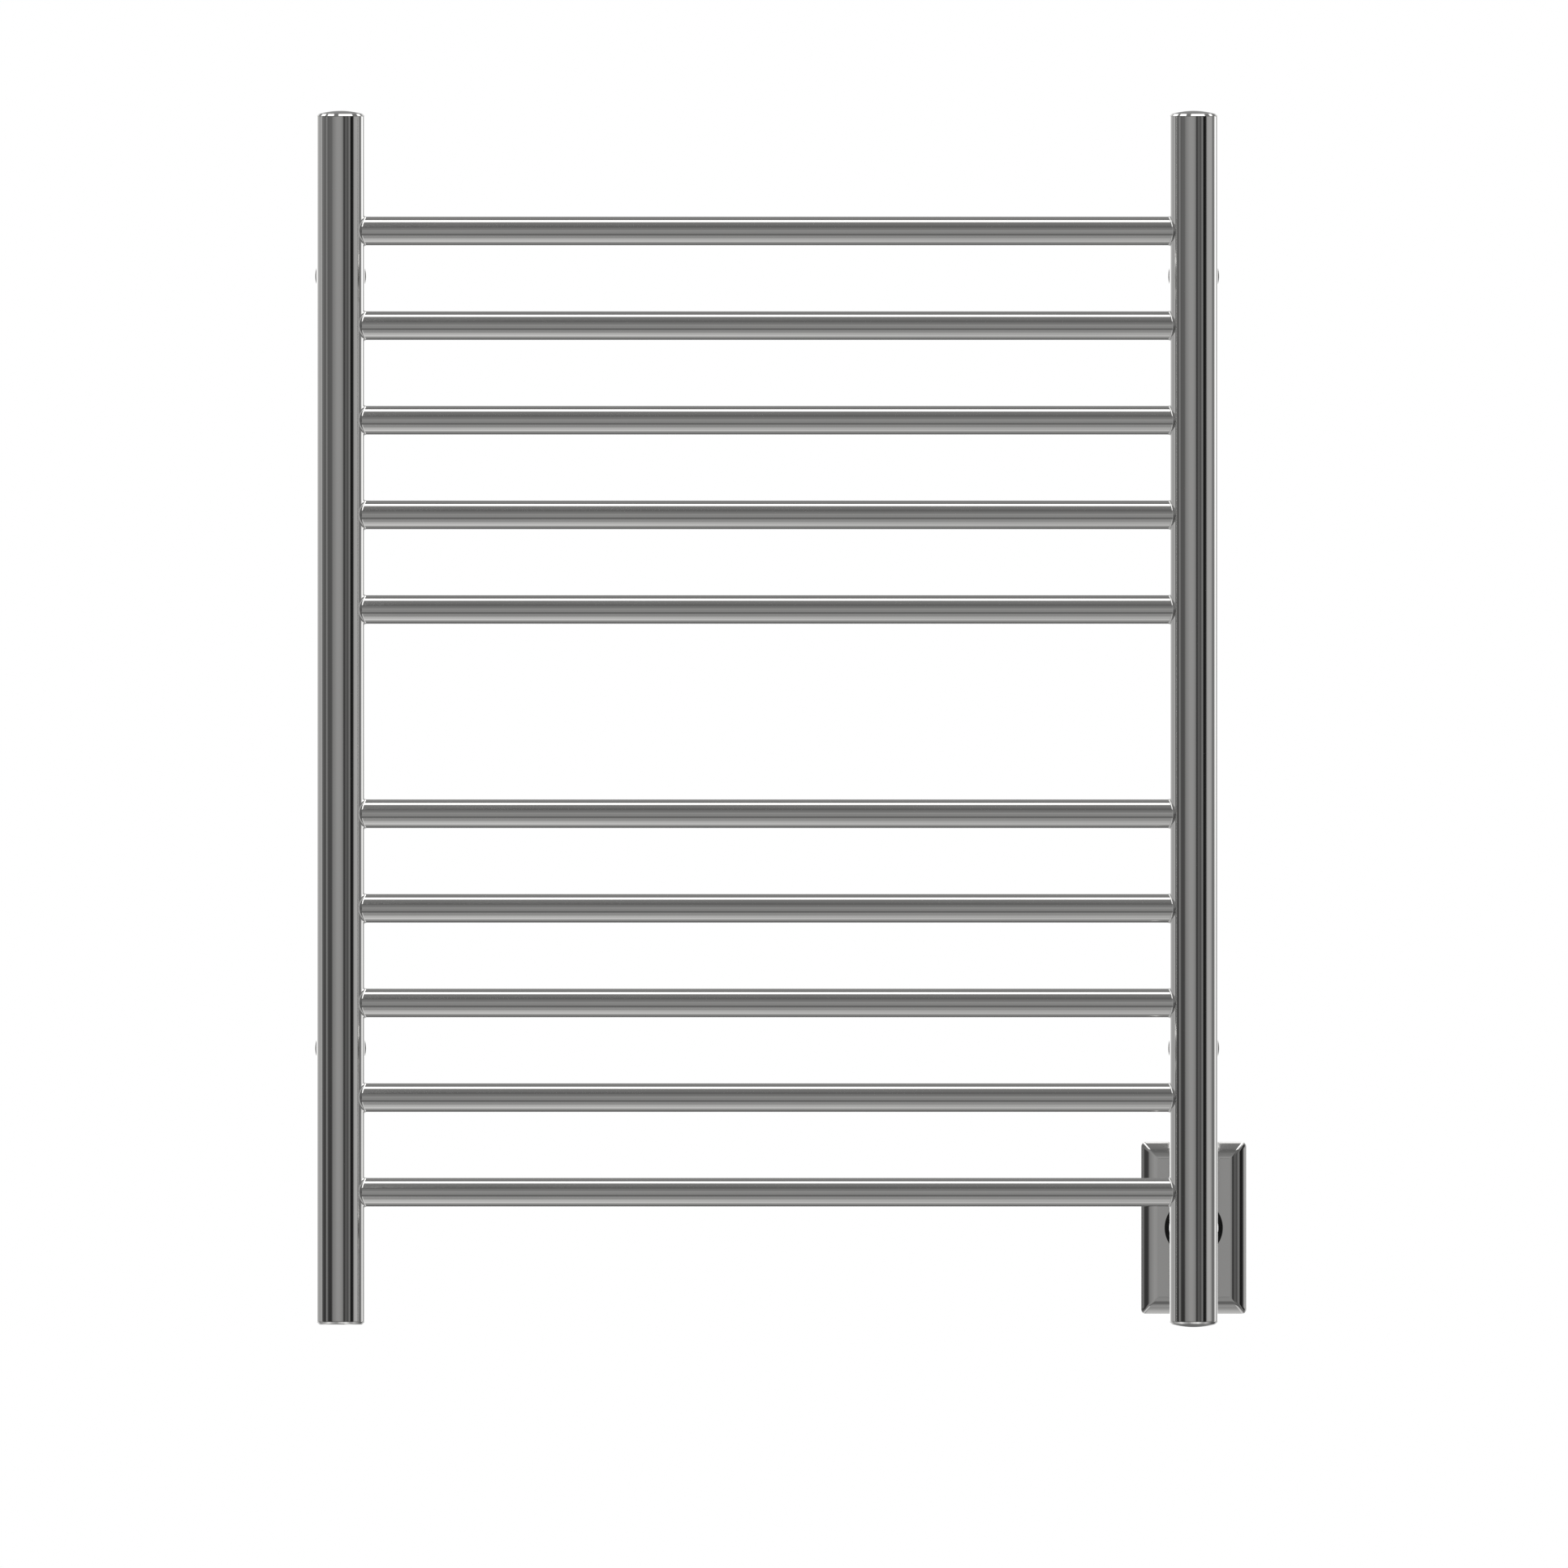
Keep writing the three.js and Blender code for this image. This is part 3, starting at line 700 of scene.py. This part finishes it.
def rounded_rectangle(centre, width, height, corner, place):
    """Points round a rectangle with rounded corners, in millimetres, with a close pair at each side's
    ends so that the shading of the corners stays in the corners."""
    points = []
    bend_steps = 8
    ease = min(PLATE_EASE, corner)
    for quarter in range(4):
        start = quarter * 90
        sign_x = (1, -1, -1, 1)[quarter]
        sign_z = (1, 1, -1, -1)[quarter]
        x = sign_x * (width / 2 - corner)
        z = sign_z * (height / 2 - corner)
        bend = arc(x, z, corner, start, start + 90, bend_steps)
        lead = math.radians(start)
        first = (bend[0][0] + ease * math.sin(lead), bend[0][1] - ease * math.cos(lead))
        last = (bend[-1][0] - ease * math.cos(lead), bend[-1][1] - ease * math.sin(lead))
        points += [first, *bend, last]
    return [centre + (RIGHT * x + UP * z + ROOM * place) * MM for x, z in points]


def wall_plate():
    """Pressed steel plate: a flat, a crease, a border that curves back to a rim, mitred at the corners.
    It is hollow behind, with holes for the bushing and its two screws."""
    low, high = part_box("wall_plate")
    centre = wall_point("wall_plate")
    width = (high.x - low.x) / MM
    height = (high.z - low.z) / MM
    full = -low.y / MM

    def ring(inset, place):
        corner = max(PLATE_CORNER * (1 - inset / PLATE_BORDER), 0) + PLATE_ROUND
        return rounded_rectangle(centre, width - 2 * inset, height - 2 * inset, corner, place)

    rim = plate_height(0, full)
    outside = [ring(0, 0)]
    outside += [ring(*point) for point in arc(PLATE_RIM, rim - PLATE_RIM, PLATE_RIM, 180, 120, 3)]
    steps = 16
    insets = [PLATE_RIM + (PLATE_BORDER - PLATE_RIM) * i / steps for i in range(steps + 1)]
    outside += [ring(inset, plate_height(inset, full)) for inset in insets]
    outside += [ring(PLATE_BORDER + PLATE_EASE, full)]
    inside = [ring(PLATE_SKIN, 0)]
    inside += [ring(inset + PLATE_SKIN, plate_height(inset, full) - PLATE_SKIN) for inset in insets[::2]]
    inside += [ring(PLATE_BORDER + PLATE_SKIN + PLATE_EASE, full - PLATE_SKIN)]
    plate = skin("wall_plate_pressing", inside[::-1] + outside, lids=True, sharp=PLATE_SHARP)
    gap = GAP / MM
    depths = (full - 3, full + 1)  # past both faces of the flat
    screw_hole = PLATE_SCREW_SHANK + gap
    holes = [plug(centre, ROOM, BUSHING_NECK + gap, *depths, sides=MEDIUM)]
    crease_place = full + 0.02
    crease_height = height / 2 - PLATE_BORDER - 0.1
    crease_reach = width / 2 - PLATE_BORDER - 0.2
    for end, sign in (("upper", 1), ("lower", -1)):
        holes.append(plug(wall_point(f"plate_screw_{end}"), ROOM, screw_hole, *depths, sides=32))
        crease = centre + (ROOM * crease_place + UP * sign * crease_height) * MM
        holes.append(plug(crease, RIGHT, PLATE_GROOVE, -crease_reach, crease_reach, sides=14))
    return cut(plate, holes)


def outlet_bushing():
    """Grooved ring between the plate and the conduit, with a rolled lip."""
    low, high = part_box("outlet_bushing")
    face = -low.y / MM
    back = -high.y / MM
    outer = (high.x - low.x) / 2 / MM
    bore = 16.3
    lip = 1.4
    roll = 0.6
    edge = 0.4
    bore_edge = 0.3
    outline = arc(outer - roll, face - roll, roll, 0, 90, 6)
    outline += arc(bore + edge, face - edge, edge, 90, 180, 4)
    outline += [(bore, back + bore_edge), (bore + bore_edge, back), (outer - edge, back)]
    outline += [(outer, back + edge), (outer, back + lip), (BUSHING_NECK, back + lip)]
    outline += [(BUSHING_NECK, face - lip), (outer, face - lip)]
    return turned("outlet_bushing_ring", wall_point("outlet_bushing"), ROOM, outline)


def plate_screw(end):
    """Slotted oval-head machine screw."""
    node = f"plate_screw_{end}"
    origin = wall_point(node)
    low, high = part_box(node)
    top = -low.y / MM
    tail = -high.y / MM
    head = (high.x - low.x) / 2 / MM
    seat = top - 1.4
    dome = 1.0
    edge = 0.1
    steps = 6
    outline = [(head * i / steps, top - dome * (i / steps) ** 2) for i in range(steps + 1)]
    outline += [(head, seat + edge), (head - edge, seat), (PLATE_SCREW_SHANK, seat)]
    rings = round_rings(origin, ROOM, outline, SMALL)
    thread = {"core": 1.35, "crest": PLATE_SCREW_SHANK, "pitch": 0.8, "taper": 1}
    rings += thread_rings(origin, ROOM, start=seat - GAP / MM, end=tail, **thread)
    screw = skin(f"{node}_body", rings, sharp=THREAD_SHARP)
    slot = wedge(origin + ROOM * top * MM, ROOM, width=0.9, length=12, depth=0.7)
    return cut(screw, [slot])


def cable_gland():
    """Rubber gland in the conduit's mouth, ribbed round the outside."""
    low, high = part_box("cable_gland")
    outer = (high.x - low.x) / 2 / MM
    front = -low.y / MM
    back = -high.y / MM
    hole = 4.5
    edge = 0.6
    front_edge = 0.8
    funnel = 1.4
    ribs = 4
    plain = 1  # at each end, beyond the ribs
    groove = outer - 0.7
    step = (front - back - 2 * plain) / ribs
    outline = [(hole, front - edge), (hole + edge, front), (outer - front_edge, front)]
    outline += [(outer, front - front_edge)]
    for i in range(ribs):
        for radius, share in ((outer, 0.25), (groove, 0.45), (groove, 0.75), (outer, 0.95)):
            outline.append((radius, front - plain - (i + share) * step))
    outline += [(outer, back + edge), (outer - edge, back), (hole + funnel, back), (hole, back + funnel)]
    return turned("cable_gland_ring", wall_point("cable_gland"), ROOM, outline)


# ---- Studio ------------------------------------------------------------------------------------------

# What the steel mirrors, on four arcs from the camera (0 degrees) round to behind the rack (180). Each stop
# is an angle and two brightnesses. On the left and right arcs they are for high and low on the arc; on the
# over and under arcs they are for its left and right ends.
WHITE = 2.0
STUDIO = {
    "left": [
        (0, 0.40, 0.39), (14, 0.41, 0.41), (24, 0.37, 0.36), (38, 0.28, 0.28),  # pale front wall
        (42, 0.21, 0.12), (46, 0.19, 0.035), (58, 0.18, 0.035),  # grey screen, dark at its foot
        (62, 0.15, 0.07), (67, 0.21, 0.19), (71, 0.35, 0.35),  # slit beside it
        (75, 0.21, 0.09), (80, 0.17, 0.04), (88, 0.23, 0.055),  # second screen
        (96, 0.26, 0.12), (100, 0.25, 0.22), (104, 0.72, 0.64),  # strip light
        (108, 0.50, 0.50), (117, 0.46, 0.45), (135, 0.60, 0.52),  # pale side wall
        (141, 0.75, 0.60), (147, 1.05, 0.75), (152, 1.30, 1.10), (180, WHITE, WHITE),  # backdrop
    ],
    "right": [
        (0, 0.39, 0.38), (7, 0.33, 0.32), (11, 0.23, 0.21), (14, 0.05, 0.05), (18, 0.07, 0.06),
        (24, 0.17, 0.14), (27, 0.17, 0.14), (32, 0.10, 0.09), (36, 0.12, 0.11),  # dim shelves
        (42, 0.32, 0.28), (46, 0.17, 0.15), (49, 0.02, 0.02),
        (51.5, 0.01, 0.01), (56, 0.01, 0.02), (61, 0.03, 0.03),  # black flag
        (65, 0.20, 0.23), (68, 0.46, 0.52), (80, 0.50, 0.60), (90, 0.50, 0.50), (96, 0.52, 0.34),
        (102, 0.28, 0.20), (107, 0.22, 0.16), (116, 0.36, 0.30),  # wide soft box, then shade
        (121, 1.1, 0.75), (124, 1.9, 1.1), (131, 1.9, 1.1), (136, 0.75, 0.55), (141, 0.50, 0.40),
        (149, 0.75, 0.60), (157, 1.0, 0.75), (166, 1.5, 1.3), (180, WHITE, WHITE),  # edge and backdrop
    ],
    "over": [
        (0, 0.38, 0.38), (4, 0.40, 0.40), (8, 0.32, 0.32), (14, 0.26, 0.26), (24, 0.24, 0.24),
        (29, 0.18, 0.18), (40, 0.165, 0.165), (46, 0.22, 0.22), (66, 0.26, 0.26),  # wall above the camera
        (71, 0.34, 0.34), (75.5, 0.42, 0.42), (77.5, WHITE, WHITE), (95.5, WHITE, WHITE),  # strip overhead
        (98, 0.26, 0.26), (108, 0.21, 0.21), (114, 0.29, 0.29), (128, 0.32, 0.32),
        (148, 0.29, 0.29), (180, 0.33, 0.33),  # ceiling behind
    ],
    "under": [  # floor sheet, then the dark floor behind it
        (0, 0.36, 0.36), (10, 0.32, 0.32), (15, 0.37, 0.37), (20, 0.27, 0.27), (24, 0.18, 0.18),
        (29, 0.15, 0.15), (33, 0.21, 0.21), (37, 0.33, 0.33), (43, 0.41, 0.41), (50, 0.35, 0.35),
        (58, 0.46, 0.46), (65, 0.54, 0.62), (72, 0.60, 0.70), (82, 0.54, 0.68), (87, 0.72, 0.88),
        (95, 0.70, 0.86), (101, 0.46, 0.49), (108, 0.38, 0.38), (118, 0.40, 0.40),
        (124, 0.25, 0.25), (132, 0.15, 0.15), (140, 0.20, 0.20), (160, 0.17, 0.17), (180, 0.19, 0.19),
    ],
}
SHELL_RADIUS = 20
SHELL_SPAN = 0.42  # half the rack's size, over which an arc goes from its first brightness to its second

# Light panels beside the over and under arcs. Each stop is how far to the right it starts, as a share of
# its height, and a brightness.
PANELS = {
    "over": [
        (-1, 0.25), (-0.82, WHITE), (-0.65, 0.30), (-0.55, WHITE), (-0.30, 0.25), (-0.04, WHITE),
        (0.47, 0.24), (0.67, WHITE), (0.78, 0.24),
    ],
    "under": [
        (-1, 0.22), (-0.85, 0.34), (-0.65, 0.55), (-0.50, 1.05), (-0.36, 0.55), (-0.20, 0.38),
        (0.0, 0.60), (0.20, 1.10), (0.36, 0.50), (0.42, 0.45), (0.53, 0.65), (0.66, 0.34), (0.78, 0.12),
    ],
}
PANEL_REACH = (0.1, 1)  # the panels' inner and outer ends, as shares of their height
PANEL_START = 0.58  # sine of the angle from the camera's axis at which they start


class Graph:
    """Short calls for building a shader from math nodes."""

    def __init__(self, tree):
        self.tree = tree

    def feed(self, socket, value):
        if isinstance(value, bpy.types.NodeSocket):
            self.tree.links.new(value, socket)
        else:
            socket.default_value = value

    def math(self, operation, *values):
        node = self.tree.nodes.new("ShaderNodeMath")
        node.operation = operation
        for socket, value in zip(node.inputs, values):
            self.feed(socket, value)
        return node.outputs[0]

    def mix(self, factor, first, second):
        node = self.tree.nodes.new("ShaderNodeMix")
        self.feed(node.inputs["Factor"], factor)
        self.feed(node.inputs["A"], first)
        self.feed(node.inputs["B"], second)
        return node.outputs["Result"]

    def ramp(self, position, stops, interpolation="LINEAR"):
        """Two levels along a ramp of stops (position from 0 to 1, first level, second level)."""
        node = self.tree.nodes.new("ShaderNodeValToRGB")
        node.color_ramp.interpolation = interpolation
        elements = node.color_ramp.elements
        while len(elements) < len(stops):
            elements.new(0.5)
        for element, (place, first, second) in zip(elements, stops):
            element.position = place
            element.color = (first, second, 0, 1)
        self.feed(node.inputs["Fac"], position)
        split = self.tree.nodes.new("ShaderNodeSeparateColor")
        self.feed(split.inputs["Color"], node.outputs["Color"])
        return split.outputs["Red"], split.outputs["Green"]

    def arc(self, angle, stops, share):
        """Brightness along one arc of the studio. The share picks between its two brightnesses."""
        levels = self.ramp(angle, [(degrees / 180, first, second) for degrees, first, second in stops])
        return self.mix(share, *levels)

    def panels(self, aside, stops, interpolation):
        """Brightness of the panels over or under the rack."""
        places = [((share + 1) / 2, level, level) for share, level in stops]
        return self.ramp(aside, places, interpolation)[0]


def studio_shell():
    """A far shell round the rack that lights it and gives it a room to mirror. The camera sees past it."""
    mesh = bpy.data.meshes.new("studio_shell")
    ball = bmesh.new()
    bmesh.ops.create_icosphere(ball, subdivisions=5, radius=SHELL_RADIUS)
    ball.to_mesh(mesh)
    ball.free()
    shell = as_object("studio_shell", mesh)
    material = bpy.data.materials.new("studio_shell")
    material.use_nodes = True
    tree = material.node_tree
    tree.nodes.clear()
    graph = Graph(tree)
    place = tree.nodes.new("ShaderNodeSeparateXYZ")
    source = tree.nodes.new("ShaderNodeTexCoord")
    tree.links.new(source.outputs["Object"], place.inputs["Vector"])
    x, y, z = place.outputs
    towards = graph.math("MULTIPLY", y, -1.0)
    sideways = graph.math("DIVIDE", graph.math("ARCTAN2", graph.math("ABSOLUTE", x), towards), math.pi)
    upright = graph.math("DIVIDE", graph.math("ARCTAN2", graph.math("ABSOLUTE", z), towards), math.pi)

    def share_along(coordinate, sign):
        raised = graph.math("MULTIPLY_ADD", coordinate, sign * 0.5 / SHELL_SPAN, 0.5)
        node = tree.nodes.new("ShaderNodeClamp")
        graph.feed(node.inputs["Value"], raised)
        return node.outputs["Result"]

    down_share = share_along(z, -1)
    right_share = share_along(x, 1)
    sides = graph.mix(graph.math("GREATER_THAN", x, 0.0),
                      graph.arc(sideways, STUDIO["left"], down_share),
                      graph.arc(sideways, STUDIO["right"], down_share))
    ends = graph.mix(graph.math("GREATER_THAN", z, 0.0),
                     graph.arc(upright, STUDIO["under"], right_share),
                     graph.arc(upright, STUDIO["over"], right_share))
    x_square = graph.math("MULTIPLY", x, x)
    z_square = graph.math("MULTIPLY", z, z)
    spread = graph.math("ADD", graph.math("ADD", x_square, z_square), 1e-6)
    weight = graph.math("DIVIDE", z_square, spread)
    aside = graph.math("DIVIDE", x, graph.math("ADD", graph.math("ABSOLUTE", z), 1e-3))
    across = graph.math("MULTIPLY_ADD", aside, 0.5, 0.5)
    panels = graph.mix(graph.math("GREATER_THAN", z, 0.0),
                       graph.panels(across, PANELS["under"], "LINEAR"),
                       graph.panels(across, PANELS["over"], "CONSTANT"))
    near, far = (graph.math("GREATER_THAN", graph.math("ABSOLUTE", aside), edge) for edge in PANEL_REACH)
    hung = graph.math("GREATER_THAN", spread, (PANEL_START * SHELL_RADIUS) ** 2)
    shown = graph.math("MULTIPLY", graph.math("SUBTRACT", near, far), hung)
    emission = tree.nodes.new("ShaderNodeEmission")
    graph.feed(emission.inputs["Strength"], graph.mix(shown, graph.mix(weight, sides, ends), panels))
    output = tree.nodes.new("ShaderNodeOutputMaterial")
    tree.links.new(emission.outputs["Emission"], output.inputs["Surface"])
    material.cycles.emission_sampling = "NONE"
    mesh.materials.append(material)
    shell.location = (0, AXIS_PLANE, (cad_low.z + cad_high.z) / 2)
    shell.visible_camera = False


FLOOR_REACH = 14
FLOOR_DROP = 0.35  # below the rack's lowest point
FLOOR_GLOW = 0.42  # lifts the floor towards the white behind it


def floor():
    """Plain pale floor under the rack, seen only from above."""
    mesh = bpy.data.meshes.new("floor")
    corners = [(x * FLOOR_REACH, y * FLOOR_REACH, 0) for x, y in ((-1, -1), (1, -1), (1, 1), (-1, 1))]
    mesh.from_pydata(corners, [], [(0, 1, 2, 3)])
    plane = as_object("floor", mesh)
    plane.location = (0, 0, cad_low.z - FLOOR_DROP)
    material, surface = new_material("floor", Base_Color=(0.86, 0.86, 0.85, 1), Roughness=0.9)
    surface.inputs["Emission Color"].default_value = (1, 1, 1, 1)
    surface.inputs["Emission Strength"].default_value = FLOOR_GLOW
    tree = material.node_tree
    clear = tree.nodes.new("ShaderNodeBsdfTransparent")
    side = tree.nodes.new("ShaderNodeNewGeometry")
    mix = tree.nodes.new("ShaderNodeMixShader")
    tree.links.new(side.outputs["Backfacing"], mix.inputs["Fac"])
    tree.links.new(surface.outputs["BSDF"], mix.inputs[1])
    tree.links.new(clear.outputs["BSDF"], mix.inputs[2])
    tree.links.new(mix.outputs["Shader"], tree.nodes["Material Output"].inputs["Surface"])
    material.cycles.emission_sampling = "NONE"
    mesh.materials.append(material)
    plane.visible_glossy = False


def white_background():
    world = bpy.data.worlds.new("white")
    world.use_nodes = True
    background = world.node_tree.nodes["Background"]
    background.inputs["Color"].default_value = (1, 1, 1, 1)
    background.inputs["Strength"].default_value = 1.0
    world.cycles.sampling_method = "NONE"
    bpy.context.scene.world = world
    bpy.context.scene.view_settings.view_transform = "Standard"


VIEW_SIZE = 1.0440  # height and width of the picture
VIEW_X = 0.0112  # middle of the picture
VIEW_Z = -0.0812
VIEW_DISTANCE = 3  # from the plane of the posts' axes


def camera():
    """Square-on view from the room, with no perspective."""
    data = bpy.data.cameras.new("camera")
    data.type = "ORTHO"
    data.ortho_scale = VIEW_SIZE
    eye = bpy.data.objects.new("camera", data)
    eye.location = (VIEW_X, AXIS_PLANE - VIEW_DISTANCE, VIEW_Z)
    eye.rotation_euler = (math.pi / 2, 0, 0)
    bpy.context.scene.collection.objects.link(eye)
    bpy.context.scene.camera = eye


# ---- Assembly ----------------------------------------------------------------------------------------

camera()
white_background()
studio_shell()
floor()

for side in SIDES:
    stand_for(post(side), f"post_{side}", STEEL["z"])
    top_cap = domed_cap(f"cap_top_{side}_dome", post_point(side, POST_HIGH), UP)
    stand_for(top_cap, f"cap_top_{side}", STEEL["z"])

for node in BARS:
    rail = stand_for(bar(node), node, STEEL["x"])
    rail.visible_glossy = False  # in the picture no bar mirrors its neighbours

bottom_cap = domed_cap("cap_bottom_right_dome", post_point("right", POST_LOW), DOWN)
stand_for(bottom_cap, "cap_bottom_right", STEEL["z"])
left_foot = post_point("left", POST_LOW)
stand_for(switch_bezel(left_foot), "switch_bezel", STEEL["z"])
stand_for(switch_button(left_foot), "switch_button", STEEL["z"], "button")

for corner in CORNERS:
    stand_for(standoff_arm(corner), f"standoff_arm_{corner}", STEEL["y"])
    stand_for(cover_sleeve(corner), f"cover_sleeve_{corner}", STEEL["y"], f"sleeve_{corner}")
    stand_for(wall_boss(corner), f"wall_boss_{corner}", ZINC)
    stand_for(wall_screw(corner), f"wall_screw_{corner}", ZINC)
    stand_for(set_screw(corner), f"set_screw_{corner}", ZINC)

conduit_axis = post_point("right", SUPPLY_Z)
conduit_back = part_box("power_conduit")[1].y
conduit_shape = (CONDUIT_RADIUS, CONDUIT_WALL, CONDUIT_WELD, conduit_back, END_CHAMFER)
conduit = back_tube("power_conduit_tube", conduit_axis, *conduit_shape)
stand_for(conduit, "power_conduit", STEEL["y"])
stand_for(wall_plate(), "wall_plate", STEEL["x"], "plate")
stand_for(outlet_bushing(), "outlet_bushing", PLASTIC, "plate")
for end in ("upper", "lower"):
    stand_for(plate_screw(end), f"plate_screw_{end}", STEEL["y"], "plate")
stand_for(cable_gland(), "cable_gland", RUBBER)

CARRIED_OVER = {
    "switch_body": NYLON, "lead_splice": NYLON, "thermal_cutout": NYLON,
    "heating_cable": SILICONE, "return_lead": SHEATH, "switch_lead": SHEATH,
}
for node, material in CARRIED_OVER.items():
    nodes[node].data.materials.clear()
    nodes[node].data.materials.append(material)
    nodes[node].visible_glossy = False  # the bars round it are not mirrored either
